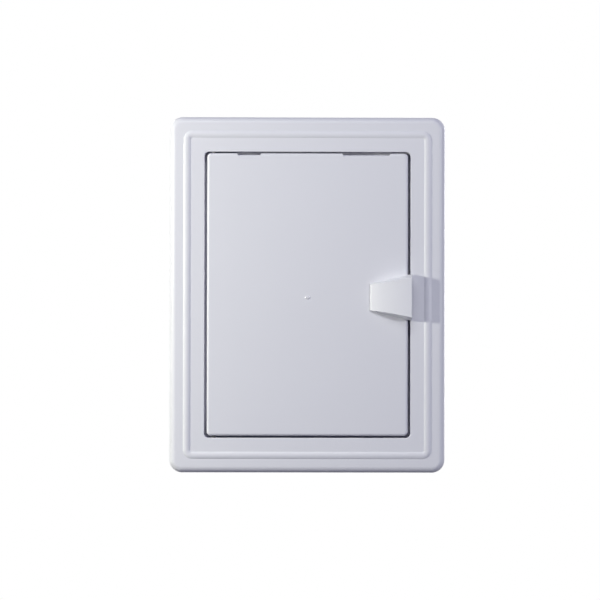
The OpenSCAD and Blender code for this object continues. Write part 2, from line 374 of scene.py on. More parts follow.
def carve(piece: bpy.types.Object, cut: Cut, shapes: Sequence[bmesh.types.BMesh]) -> None:
    """Adds shapes to a piece or takes them out of it.

    Args:
        piece: The piece to change.
        cut: Whether the shapes are added or removed.
        shapes: The tool shapes, which are used up.
    """
    tool = new_piece("tool", joined(shapes))
    step = piece.modifiers.new("carve", "BOOLEAN")
    step.operation = cut.value
    step.solver = "EXACT"
    step.use_self = True
    step.object = tool
    graph = bpy.context.evaluated_depsgraph_get()
    result = bpy.data.meshes.new_from_object(piece.evaluated_get(graph))
    piece.modifiers.clear()
    old = piece.data
    piece.data = result
    result.name = piece.name
    bpy.data.meshes.remove(old)
    bpy.data.objects.remove(tool)


def smooth(piece: bpy.types.Object, crease: float = 32.0) -> None:
    """Shades a piece smooth, apart from its creases.

    Args:
        piece: The piece to shade.
        crease: Smallest angle of an edge that stays sharp, in degrees.
    """
    piece.data.polygons.foreach_set("use_smooth", [True] * len(piece.data.polygons))
    piece.data.set_sharp_from_angle(angle=math.radians(crease))
    even = piece.modifiers.new("even_flats", "WEIGHTED_NORMAL")
    even.keep_sharp = True
    even.weight = 100


def soften(shape: bmesh.types.BMesh, width: float, segments: int = 3, crease: float = 20.0) -> None:
    """Rounds a mesh's sharp edges.

    Args:
        shape: The mesh to change.
        width: Width of the rounding in millimetres.
        segments: Facets across the rounding.
        crease: Smallest angle of an edge that is rounded, in degrees.
    """
    sharp = [e for e in shape.edges if e.calc_face_angle(0) > math.radians(crease)]
    bmesh.ops.bevel(
        shape,
        geom=sharp,
        offset=width * MM,
        offset_type="OFFSET",
        segments=segments,
        profile=0.5,
        affect="EDGES",
        clamp_overlap=True,
    )


# Finishes


@dataclass(frozen=True)
class MouldedPlastic:
    """Injection-moulded plastic with a fine grain, faint waves and painted shade darkening its narrow
    gaps.

    Attributes:
        name: The material's name.
        colour: Main colour.
        shade: Colour of the slightly darker patches.
        gap_shade: Painted shade, the colour mixed in deep inside a gap where shade falls.
        roughness: Lowest and highest roughness of the surface.
        gloss: Share of the mirror light, 0.5 for a clean polished face.
        grain: Height of the fine grain in millimetres.
        wave: Height of the broad waves in millimetres.
        gap_reach: How near another face has to be to make a gap, in millimetres.
        gap_open: Share of the view out of a gap above which it gets no painted shade.
    """

    name: str
    colour: Colour
    shade: Colour
    # Painted shade: the colour that narrow gaps are darkened towards, where shade falls.
    gap_shade: Colour = (0.44, 0.44, 0.52)
    roughness: tuple[float, float] = (0.3, 0.38)
    gloss: float = 0.28
    grain: float = 0.004
    wave: float = 0.02
    gap_reach: float = 7.0
    gap_open: float = 0.5

    def make(self) -> bpy.types.Material:
        """Builds the material's nodes.

        Returns:
            The new material.
        """
        material = bpy.data.materials.new(self.name)
        material.use_nodes = True
        tree = material.node_tree
        shader = tree.nodes["Principled BSDF"]
        shader.inputs["IOR"].default_value = 1.52
        shader.inputs["Specular IOR Level"].default_value = self.gloss
        spot = tree.nodes.new("ShaderNodeTexCoord")
        patches = self._noise(tree, spot, scale=22, detail=3)
        mix = tree.nodes.new("ShaderNodeMix")
        mix.data_type = "RGBA"
        mix.inputs["A"].default_value = (*self.colour, 1)
        mix.inputs["B"].default_value = (*self.shade, 1)
        tree.links.new(patches.outputs["Fac"], mix.inputs["Factor"])
        # Painted shade: the base colour is darkened towards the gap colour by an occlusion mask, deep in
        # narrow gaps.
        gap_shaded = tree.nodes.new("ShaderNodeMix")
        gap_shaded.data_type = "RGBA"
        gap_shaded.inputs["B"].default_value = (*self.gap_shade, 1)
        tree.links.new(self._gap_shade_mask(tree).outputs["Result"], gap_shaded.inputs["Factor"])
        tree.links.new(mix.outputs["Result"], gap_shaded.inputs["A"])
        tree.links.new(gap_shaded.outputs["Result"], shader.inputs["Base Color"])
        smear = self._noise(tree, spot, scale=160, detail=4)
        gloss = tree.nodes.new("ShaderNodeMapRange")
        gloss.inputs["From Min"].default_value = 0.3
        gloss.inputs["From Max"].default_value = 0.7
        gloss.inputs["To Min"].default_value = self.roughness[0]
        gloss.inputs["To Max"].default_value = self.roughness[1]
        tree.links.new(smear.outputs["Fac"], gloss.inputs["Value"])
        tree.links.new(gloss.outputs["Result"], shader.inputs["Roughness"])
        waves = self._bump(tree, self._noise(tree, spot, scale=28, detail=1), self.wave)
        grain = self._bump(tree, self._noise(tree, spot, scale=2600, detail=2), self.grain)
        tree.links.new(waves.outputs["Normal"], grain.inputs["Normal"])
        tree.links.new(grain.outputs["Normal"], shader.inputs["Normal"])
        return material

    def _gap_shade_mask(self, tree: bpy.types.NodeTree) -> bpy.types.Node:
        """Adds the mask of the painted shade, which rises from 0 on open faces to 1 deep inside a narrow
        gap.

        Args:
            tree: The tree that gets the nodes.

        Returns:
            The node that gives the value.
        """
        cover = tree.nodes.new("ShaderNodeAmbientOcclusion")
        cover.samples = 8
        cover.inputs["Distance"].default_value = self.gap_reach * MM
        depth = tree.nodes.new("ShaderNodeMapRange")
        depth.inputs["From Min"].default_value = self.gap_open
        depth.inputs["From Max"].default_value = 0
        tree.links.new(cover.outputs["AO"], depth.inputs["Value"])
        return depth

    @staticmethod
    def _noise(
        tree: bpy.types.NodeTree, spot: bpy.types.Node, scale: float, detail: float
    ) -> bpy.types.Node:
        """Adds a noise texture that follows the piece.

        Args:
            tree: The tree that gets the node.
            spot: The node that gives the place on the piece.
            scale: Patches per metre.
            detail: Finer layers on top of the first.

        Returns:
            The texture's node.
        """
        noise = tree.nodes.new("ShaderNodeTexNoise")
        noise.inputs["Scale"].default_value = scale
        noise.inputs["Detail"].default_value = detail
        tree.links.new(spot.outputs["Object"], noise.inputs["Vector"])
        return noise

    @staticmethod
    def _bump(tree: bpy.types.NodeTree, height: bpy.types.Node, depth: float) -> bpy.types.Node:
        """Turns a noise texture into relief.

        Args:
            tree: The tree that gets the node.
            height: The texture's node.
            depth: Depth of the relief in millimetres.

        Returns:
            The relief's node.
        """
        bump = tree.nodes.new("ShaderNodeBump")
        bump.inputs["Strength"].default_value = 1
        bump.inputs["Distance"].default_value = depth * MM
        tree.links.new(height.outputs["Fac"], bump.inputs["Height"])
        return bump


@dataclass(frozen=True)
class DrawnSteel:
    """Steel with fine lines along its length or around its turning axis.

    Attributes:
        name: The material's name.
        colour: Main colour.
        dull: Colour of the duller streaks.
        roughness: Lowest and highest roughness.
        stretch: Texture scale along X, Y and Z, in lines per metre.
        line_depth: Depth of the lines in millimetres.
    """

    name: str
    colour: Colour
    dull: Colour
    roughness: tuple[float, float] = (0.22, 0.4)
    stretch: tuple[float, float, float] = (3000, 3000, 120)
    line_depth: float = 0.003

    def make(self) -> bpy.types.Material:
        """Builds the material's nodes.

        Returns:
            The new material.
        """
        material = bpy.data.materials.new(self.name)
        material.use_nodes = True
        tree = material.node_tree
        shader = tree.nodes["Principled BSDF"]
        shader.inputs["Metallic"].default_value = 1
        spot = tree.nodes.new("ShaderNodeTexCoord")
        scale = tree.nodes.new("ShaderNodeMapping")
        scale.inputs["Scale"].default_value = self.stretch
        lines = tree.nodes.new("ShaderNodeTexNoise")
        lines.inputs["Scale"].default_value = 1
        lines.inputs["Detail"].default_value = 4
        tree.links.new(spot.outputs["Object"], scale.inputs["Vector"])
        tree.links.new(scale.outputs["Vector"], lines.inputs["Vector"])
        mix = tree.nodes.new("ShaderNodeMix")
        mix.data_type = "RGBA"
        mix.inputs["A"].default_value = (*self.colour, 1)
        mix.inputs["B"].default_value = (*self.dull, 1)
        tree.links.new(lines.outputs["Fac"], mix.inputs["Factor"])
        tree.links.new(mix.outputs["Result"], shader.inputs["Base Color"])
        gloss = tree.nodes.new("ShaderNodeMapRange")
        gloss.inputs["To Min"].default_value = self.roughness[0]
        gloss.inputs["To Max"].default_value = self.roughness[1]
        tree.links.new(lines.outputs["Fac"], gloss.inputs["Value"])
        tree.links.new(gloss.outputs["Result"], shader.inputs["Roughness"])
        bump = tree.nodes.new("ShaderNodeBump")
        bump.inputs["Distance"].default_value = self.line_depth * MM
        tree.links.new(lines.outputs["Fac"], bump.inputs["Height"])
        tree.links.new(bump.outputs["Normal"], shader.inputs["Normal"])
        return material


@dataclass
class Finishes:
    """The hatch's finishes, made once and shared by its pieces.

    Attributes:
        shell: Plastic of the frame, the door and the handle.
        spring: Plastic of the latch.
        pin: Steel of the hinge pins.
        zinc: Plating of the screws.
    """

    shell: bpy.types.Material = field(init=False)
    spring: bpy.types.Material = field(init=False)
    pin: bpy.types.Material = field(init=False)
    zinc: bpy.types.Material = field(init=False)

    def __post_init__(self) -> None:
        """Makes every material."""
        white = (0.845, 0.85, 0.872)
        self.shell = MouldedPlastic("satin_white_plastic", white, (0.83, 0.836, 0.86)).make()
        self.spring = MouldedPlastic(
            "natural_spring_plastic", (0.8, 0.8, 0.76), (0.76, 0.76, 0.72), roughness=(0.42, 0.5)
        ).make()
        self.pin = DrawnSteel("drawn_steel", (0.14, 0.14, 0.145), (0.1, 0.1, 0.105), (0.55, 0.7)).make()
        self.zinc = DrawnSteel(
            "zinc_plate", (0.66, 0.67, 0.66), (0.55, 0.56, 0.57), stretch=(900, 900, 900)
        ).make()


def dress(piece: bpy.types.Object, finish: bpy.types.Material, body: Body) -> None:
    """Gives a new piece its looks and its place in the record.

    Args:
        piece: The piece to dress.
        finish: Its material.
        body: The body that it rides on.
    """
    piece.data.materials.clear()
    piece.data.materials.append(finish)
    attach(piece, body.value)


# Sub-assemblies


@dataclass
class FrameMoulding:
    """The fixed moulding: flange, bead, lip, door stop and wall collar.

    Sizes are in millimetres, and heights are above the wall's face.

    Attributes:
        opening_half_w: Half the opening's width.
        opening_half_h: Half the opening's height.
        border: Width of the flange.
        rise: Height of the flange's face.
        wall: Thickness of the moulding.
        corner: Corner radius of the outer edge.
        roll: Radius of the rolled outer edge.
        bead_inset: Distance of the bead's middle from the outer edge.
        bead_w: Width of the bead.
        bead_rise: Height of the bead above the flange.
        bead_corner: Corner radius of the bead's middle line.
        bead_steps: Facets across the bead.
        foot_round: Rounding at the bead's feet.
        lip_corner: Corner radius of the opening.
        lip_round: Rounding of the opening's front edge.
        stop_front: Height of the door stop's front.
        stop_back: Height of the door stop's back.
        stop_w: How far the stop reaches into the opening.
        stop_corner: Corner radius of the stop's inner edge.
        collar_inset: Distance of the collar from the outer edge.
        collar_wall: Thickness of the collar.
        collar_depth: Depth of the collar behind the wall's face.
        collar_corner: Corner radius of the collar.
        edge: Rounding of the plain edges.
        arc_steps: Facets around each corner.
        rib_t: Thickness of the ribs.
        rib_pitch: Largest distance between ribs.
        fixing_r: Radius of the fixing holes.
        fixing_half: Half the distance between the fixing holes of a side.
        fixing_depth: Depth of the fixing holes behind the wall's face.
        hinge_x: Place of the hinge axis across the hatch.
        hinge_front: Height of the hinge axis.
        socket_half: Half the width of a pin's socket.
        pin_r: Radius of the pins.
        pin_room: Room between a pin and its bore.
        pin_held: Length of a pin inside the frame.
        bond: How deep joined shapes overlap and how far tools overshoot.
    """

    opening_half_w: float = 64.25
    opening_half_h: float = 89.25
    border: float = 21.75
    rise: float = 5.5
    wall: float = 2.2
    corner: float = 8.0
    roll: float = 4.0
    bead_inset: float = 10.8
    bead_w: float = 4.5
    bead_rise: float = 0.75
    bead_corner: float = 3.2
    bead_steps: int = 14
    foot_round: float = 0.45
    lip_corner: float = 2.8
    lip_round: float = 0.6
    stop_front: float = -2.3
    stop_back: float = -4.3
    stop_w: float = 5.0
    stop_corner: float = 2.0
    collar_inset: float = 12.0
    collar_wall: float = 2.0
    collar_depth: float = 25.0
    collar_corner: float = 5.0
    edge: float = 0.35
    arc_steps: int = 14
    rib_t: float = 1.4
    rib_pitch: float = 36.0
    fixing_r: float = 2.1
    fixing_half: float = 60.0
    fixing_depth: float = 16.0
    hinge_x: float = -58.35
    hinge_front: float = 3.0
    socket_half: float = 3.05
    pin_r: float = 1.25
    pin_room: float = 0.01
    pin_held: float = 6.0
    bond: float = 0.5

    @property
    def half_w(self) -> float:
        """Half the flange's width."""
        return self.opening_half_w + self.border

    @property
    def half_h(self) -> float:
        """Half the flange's height."""
        return self.opening_half_h + self.border

    def bead_bends(self) -> list[Bend]:
        """Gives the bead's arch, with a soft foot on either side.

        Returns:
            The arch's bends from the outer foot to the inner one.
        """
        half = self.bead_w / 2
        arch = (half**2 + self.bead_rise**2) / (2 * self.bead_rise)
        reach = math.asin(half / arch)
        bends: list[Bend] = []
        for step in range(self.bead_steps + 1):
            turn = -reach + 2 * reach * step / self.bead_steps
            inset = self.bead_inset + arch * math.sin(turn)
            front = self.rise + self.bead_rise - arch * (1 - math.cos(turn))
            ends = step in (0, self.bead_steps)
            corner = self.bead_corner + self.bead_inset - inset
            bends.append(Bend(inset, front, corner, self.foot_round if ends else 0.0, 3))
        return bends

    def section(self) -> list[Bend]:
        """Gives the whole section of the moulding.

        Returns:
            Points once around the section, starting at the rim's outer back edge.
        """
        border = self.border
        under = self.rise - self.wall
        lip_back = border - self.wall
        stop_edge = border + self.stop_w
        inner = self.collar_inset + self.collar_wall
        inner_corner = self.collar_corner - self.collar_wall
        rear = -self.collar_depth
        edge = self.edge
        bends = [
            Bend(0, 0, self.corner, edge, 2),
            Bend(0, self.rise, self.corner, self.roll, 12),
            *self.bead_bends(),
            Bend(border, self.rise, self.lip_corner, self.lip_round, 5),
            Bend(border, self.stop_front, self.lip_corner, edge, 2),
            Bend(stop_edge, self.stop_front, self.stop_corner, edge, 3),
            Bend(stop_edge, self.stop_back, self.stop_corner, edge, 3),
            Bend(lip_back, self.stop_back, self.lip_corner + self.wall, edge, 3),
            Bend(lip_back, under, self.lip_corner + self.wall, edge, 2),
            Bend(inner, under, inner_corner, edge, 2),
            Bend(inner, rear, inner_corner, edge, 3),
            Bend(self.collar_inset, rear, self.collar_corner, edge, 3),
            Bend(self.collar_inset, under, self.collar_corner, edge, 2),
            Bend(self.wall, under, self.corner - self.wall, self.roll - self.wall, 5),
            Bend(self.wall, 0, self.corner - self.wall, edge, 2),
        ]
        return rounded_section(bends, closed=True)

    def ribs(self) -> list[bmesh.types.BMesh]:
        """Makes the short ribs between the flange's rim and the collar.

        Returns:
            One mesh for each rib.
        """
        shapes: list[bmesh.types.BMesh] = []
        top = self.rise - self.wall + self.bond
        reach = (self.wall - self.bond, self.collar_inset + self.bond)
        runs = (
            (self.half_w - self.collar_inset - 2 * self.collar_corner, self.half_h, True),
            (self.half_h - self.collar_inset - 2 * self.collar_corner, self.half_w, False),
        )
        for half_run, half_out, flat in runs:
            count = math.ceil(2 * half_run / self.rib_pitch)
            for k in range(count + 1):
                along = -half_run + 2 * half_run * k / count
                for side in (-1, 1):
                    near, far = (side * (half_out - inset) for inset in reach)
                    a = (along - self.rib_t / 2, near) if flat else (near, along - self.rib_t / 2)
                    b = (along + self.rib_t / 2, far) if flat else (far, along + self.rib_t / 2)
                    shapes.append(block(place(*a, self.bond), place(*b, top)))
        return shapes

    def sockets(self) -> list[bmesh.types.BMesh]:
        """Makes the blocks behind the flange that hold the hinge pins.

        Returns:
            One mesh for each block.
        """
        back = self.hinge_front - self.socket_half
        top = self.rise - self.wall + self.bond
        far = self.half_h - self.collar_inset - self.collar_wall + self.bond
        near = self.opening_half_h + self.bond
        return [
            block(
                place(self.hinge_x - self.socket_half, side * near, back),
                place(self.hinge_x + self.socket_half, side * far, top),
            )
            for side in (-1, 1)
        ]

    def holes(self) -> list[bmesh.types.BMesh]:
        """Makes the tools for the pin bores and the fixing holes.

        Returns:
            One mesh for each hole.
        """
        shapes: list[bmesh.types.BMesh] = []
        for side in (-1, 1):
            start = place(self.hinge_x, side * (self.opening_half_h - self.bond), self.hinge_front)
            end = place(self.hinge_x, side * (self.opening_half_h + self.pin_held), self.hinge_front)
            shapes.append(rod(start, end, self.pin_r + self.pin_room))
            wall_out = self.half_w - self.collar_inset
            for up in (-1, 1):
                z = up * self.fixing_half
                start = place(side * (wall_out - self.collar_wall - self.bond), z, -self.fixing_depth)
                end = place(side * (wall_out + self.bond), z, -self.fixing_depth)
                shapes.append(rod(start, end, self.fixing_r))
        return shapes

    def build(self, finishes: Finishes) -> bpy.types.Object:
        """Makes and dresses the frame.

        Args:
            finishes: The hatch's finishes.

        Returns:
            The frame's piece.
        """
        rings = rings_of(self.section(), self.half_w, self.half_h)
        piece = new_piece("frame_moulding", loft(rings, self.arc_steps, closed=True))
        carve(piece, Cut.ADD, self.ribs() + self.sockets())
        carve(piece, Cut.REMOVE, self.holes())
        smooth(piece)
        dress(piece, finishes.shell, Body.SURROUND)
        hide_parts("frame")
        return piece


@dataclass
class DoorLeaf:
    """The hinged moulding: skin, rim, ribs, hinge bosses and latch ears.

    Sizes are in millimetres, and heights are above the wall's face.

    Attributes:
        depth: Depth of the door from its face to the rim's back.
        skin: Thickness of the skin.
        rim: Thickness of the rim.
        corner: Corner radius of the door.
        front_round: Rounding of the front edge.
        edge: Rounding of the other edges.
        arc_steps: Facets around each corner.
        notch_depth: Depth of the notches in the upper edge.
        notch_offset: Distance of each notch's middle from the door's middle.
        notch_short: Width of the left notch.
        notch_long: Width of the right notch.
        notch_slant: Slant of a notch's ends.
        notch_bevel: Bevel of the front edge below a notch.
        gate_x: Place of the gate mark right of the door's middle.
        gate_z: Place of the gate mark above the door's middle.
        gate_r: Radius of the gate mark's foot.
        gate_stretch: How many times wider than tall the mark is.
        gate_rise: Height of the mark's ring above the skin.
        gate_ring: Radius of the ring, as a share of the foot's.
        gate_dip: Height of the mark's middle, as a share of the ring's.
        rib_t: Thickness of the ribs.
        rib_h: Height of the ribs behind the skin.
        hinge_inset: Distance of the hinge axis from the door's left edge.
        hinge_back: Distance of the hinge axis behind the face.
        boss_r: Radius of the hinge bosses.
        bore_r: Radius of the hinge bores.
        pin_reach: Length of a pin inside the door.
        boss_wall: Length of a boss beyond its pin.
        tail_reach: How far the hinge side reaches behind the axis.
        latch_x: Place of the latch's axis across the hatch.
        latch_front: Height of the latch's axis.
        latch_z: Place of the latch's middle above the hatch's.
        latch_half: Half the latch's width.
        ear_t: Thickness of the latch's ears.
        ear_gap: Room on each side of the latch.
        ear_r: Radius of the ears.
        trunnion_bore_r: Radius of the ears' bores.
        screw_x: Place of the handle's screws across the hatch.
        screw_half: Half the distance between the screws.
        screw_hole_r: Radius of the screws' holes.
        screw_head_r: Radius of the screws' heads.
        bond: How deep joined shapes overlap and how far tools overshoot.
    """

    depth: float = 8.5
    skin: float = 2.2
    rim: float = 1.8
    corner: float = 2.5
    front_round: float = 1.6
    edge: float = 0.3
    arc_steps: int = 10
    notch_depth: float = 1.2
    notch_offset: float = 36.6
    notch_short: float = 15.6
    notch_long: float = 30.6
    notch_slant: float = 1.0
    notch_bevel: float = 0.85
    gate_x: float = 0.0
    gate_z: float = -1.9
    gate_r: float = 1.1
    gate_stretch: float = 1.5
    gate_rise: float = 0.55
    gate_ring: float = 0.5
    gate_dip: float = 0.3
    rib_t: float = 1.4
    rib_h: float = 2.6
    hinge_inset: float = 4.3
    hinge_back: float = 3.5
    boss_r: float = 3.05
    bore_r: float = 1.3
    pin_reach: float = 8.0
    boss_wall: float = 1.75
    tail_reach: float = 2.55
    latch_x: float = 57.05
    latch_front: float = 1.15
    latch_z: float = -1.5
    latch_half: float = 6.0
    ear_t: float = 2.6
    ear_gap: float = 0.3
    ear_r: float = 3.2
    trunnion_bore_r: float = 1.45
    screw_x: float = 49.65
    screw_half: float = 6.5
    screw_hole_r: float = 1.65
    screw_head_r: float = 2.8
    bond: float = 0.5

    def __post_init__(self) -> None:
        """Takes the door's place and outline from the frame."""
        low, high = (Vector(v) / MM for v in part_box("door_leaf"))
        self.low_x, self.high_x = low.x, high.x
        self.low_z, self.high_z = low.z, high.z
        self.face = -low.y
        self.middle_x = (low.x + high.x) / 2
        self.middle_z = (low.z + high.z) / 2
        self.half_w = (high.x - low.x) / 2
        self.half_h = (high.z - low.z) / 2

    @property
    def skin_back(self) -> float:
        """Height of the skin's back above the wall's face."""
        return self.face - self.skin

    @property
    def rim_back(self) -> float:
        """Height of the rim's back above the wall's face."""
        return self.face - self.depth

    def pan(self) -> bmesh.types.BMesh:
        """Makes the skin and rim with their rounded edges.

        Returns:
            The closed mesh.
        """
        rim_corner = self.corner - self.rim
        bends = [
            Bend(self.half_w / 2, self.face, 1.0),
            Bend(0, self.face, self.corner, self.front_round, 8),
            Bend(0, self.rim_back, self.corner, self.edge, 3),
            Bend(self.rim, self.rim_back, rim_corner, self.edge, 3),
            Bend(self.rim, self.skin_back, rim_corner, self.edge, 2),
            Bend(self.half_w / 2, self.skin_back, 1.0),
        ]
        rings = rings_of(rounded_section(bends, closed=False), self.half_w, self.half_h)
        shape = loft(rings, self.arc_steps, closed=False)
        shape.transform(Matrix.Translation(place(self.middle_x, self.middle_z, 0)))
        return shape

    def ribs(self) -> list[bmesh.types.BMesh]:
        """Makes the crossing ribs behind the skin, cut short around the latch.

        Returns:
            One mesh for each rib.
        """
        half_w = self.half_w - self.rim + self.bond / 2
        half_h = self.half_h - self.rim + self.bond / 2
        low = self.skin_back - self.rib_h
        top = self.skin_back + self.bond
        half_t = self.rib_t / 2
        room = self.screw_x - self.screw_head_r - self.ear_gap
        room_half = self.latch_half + 2 * self.ear_gap + self.ear_t
        shapes: list[bmesh.types.BMesh] = []
        for side in (-1, 1):
            x = self.middle_x + side * half_w / 3
            shapes.append(
                block(
                    place(x - half_t, self.middle_z - half_h, low),
                    place(x + half_t, self.middle_z + half_h, top),
                )
            )
        for side in (-3, -1, 1, 3):
            z = self.middle_z + side * half_h / 4
            clear = abs(z - self.latch_z) < room_half + half_t
            end = room if clear else self.middle_x + half_w
            shapes.append(
                block(place(self.middle_x - half_w, z - half_t, low), place(end, z + half_t, top))
            )
        return shapes

    def carriers(self) -> list[bmesh.types.BMesh]:
        """Makes the hinge bosses and the ears that carry the latch.

        Returns:
            The meshes of the bosses and ears, two for each.
        """
        shapes: list[bmesh.types.BMesh] = []
        x = self.low_x + self.hinge_inset
        front = self.face - self.hinge_back
        length = self.pin_reach + self.boss_wall
        root = self.skin_back + self.bond
        for end, inwards in ((self.high_z, -1), (self.low_z, 1)):
            near = end + inwards * self.bond
            far = end + inwards * length
            shapes.append(rod(place(x, near, front), place(x, far, front), self.boss_r))
            shapes.append(block(place(x - self.boss_r, near, front), place(x + self.boss_r, far, root)))
        x = self.latch_x
        front = self.latch_front
        for side in (-1, 1):
            near = self.latch_z + side * (self.latch_half + self.ear_gap)
            far = near + side * self.ear_t
            shapes.append(rod(place(x, near, front), place(x, far, front), self.ear_r))
            shapes.append(block(place(x - self.ear_r, near, front), place(x + self.ear_r, far, root)))
        return shapes

    def notch(self, middle: float, width: float) -> bmesh.types.BMesh:
        """Makes the tool for one notch with slanted ends in the upper edge.

        Args:
            middle: Place of the notch's middle across the hatch.
            width: Width of the notch at the door's edge.

        Returns:
            The tool's mesh.
        """
        half = width / 2
        flare = self.notch_slant * self.bond / self.notch_depth
        outline = (
            (-half - flare, self.bond),
            (-half + self.notch_slant, -self.notch_depth),
            (half - self.notch_slant, -self.notch_depth),
            (half + flare, self.bond),
        )
        back, front = (
            [place(middle + x, self.high_z + z, level) for x, z in outline]
            for level in (self.rim_back - self.bond, self.face + self.bond)
        )
        return prism(back, front)

    def notch_edge(self, middle: float, width: float) -> bmesh.types.BMesh:
        """Makes the tool that bevels the front edge below a notch.

        Args:
            middle: Place of the notch's middle across the hatch.
            width: Width of the notch at the door's edge.

        Returns:
            The tool's mesh.
        """
        floor = self.high_z - self.notch_depth
        half = width / 2 - self.notch_slant
        cut = self.notch_bevel
        shape = block(place(middle - half, -cut, -cut), place(middle + half, cut, cut))
        turn = Matrix.Rotation(math.radians(45), 4, "X")
        shrink = Matrix.Diagonal((1, math.sqrt(0.5), math.sqrt(0.5), 1))
        shape.transform(Matrix.Translation(place(0, floor, self.face)) @ turn @ shrink)
        return shape

    def gate_mark(self) -> bmesh.types.BMesh:
        """Makes the low oval mark that the mould's gate leaves on the middle of the skin.

        Returns:
            The closed mesh.
        """
        profile = [
            (0, 0),
            (self.gate_r, 0),
            (self.gate_r, self.bond),
            (self.gate_r * self.gate_ring, self.bond + self.gate_rise),
            (0, self.bond + self.gate_rise * self.gate_dip),
        ]
        shape = turned(profile, segments=32)
        middle = place(self.middle_x + self.gate_x, self.middle_z + self.gate_z, self.face - self.bond)
        spot = Matrix.Translation(middle)
        oval = Matrix.Diagonal((self.gate_stretch, 1, 1, 1))
        shape.transform(spot @ oval @ Matrix.Rotation(math.radians(90), 4, "X"))
        return shape

    def cuts(self) -> list[bmesh.types.BMesh]:
        """Makes the tools for the notches, the hinge side's relief and every bore.

        Returns:
            One mesh for each tool.
        """
        hinge_x = self.low_x + self.hinge_inset
        hinge_front = self.face - self.hinge_back
        deep = self.pin_reach + self.ear_gap
        ear_out = self.latch_half + self.ear_gap + self.ear_t + self.bond
        shapes = [
            self.notch(self.middle_x - self.notch_offset, self.notch_short),
            self.notch(self.middle_x + self.notch_offset, self.notch_long),
            self.notch_edge(self.middle_x - self.notch_offset, self.notch_short),
            self.notch_edge(self.middle_x + self.notch_offset, self.notch_long),
            block(
                place(self.low_x - self.bond, self.low_z - self.bond, self.rim_back - self.bond),
                place(hinge_x, self.high_z + self.bond, hinge_front - self.tail_reach),
            ),
            rod(
                place(self.latch_x, self.latch_z - ear_out, self.latch_front),
                place(self.latch_x, self.latch_z + ear_out, self.latch_front),
                self.trunnion_bore_r,
            ),
        ]
        for end, inwards in ((self.high_z, -1), (self.low_z, 1)):
            start = place(hinge_x, end - inwards * self.bond, hinge_front)
            shapes.append(rod(start, place(hinge_x, end + inwards * deep, hinge_front), self.bore_r))
        for side in (-1, 1):
            z = self.latch_z + side * self.screw_half
            start = place(self.screw_x, z, self.skin_back - self.bond)
            shapes.append(rod(start, place(self.screw_x, z, self.face + self.bond), self.screw_hole_r))
        return shapes

    def build(self, finishes: Finishes) -> bpy.types.Object:
        """Makes and dresses the door.

        Args:
            finishes: The hatch's finishes.

        Returns:
            The door's piece.
        """
        piece = new_piece("door_moulding", self.pan())
        carve(piece, Cut.ADD, [*self.ribs(), *self.carriers(), self.gate_mark()])
        carve(piece, Cut.REMOVE, self.cuts())
        smooth(piece)
        dress(piece, finishes.shell, Body.DOOR)
        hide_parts("door_leaf")
        return piece


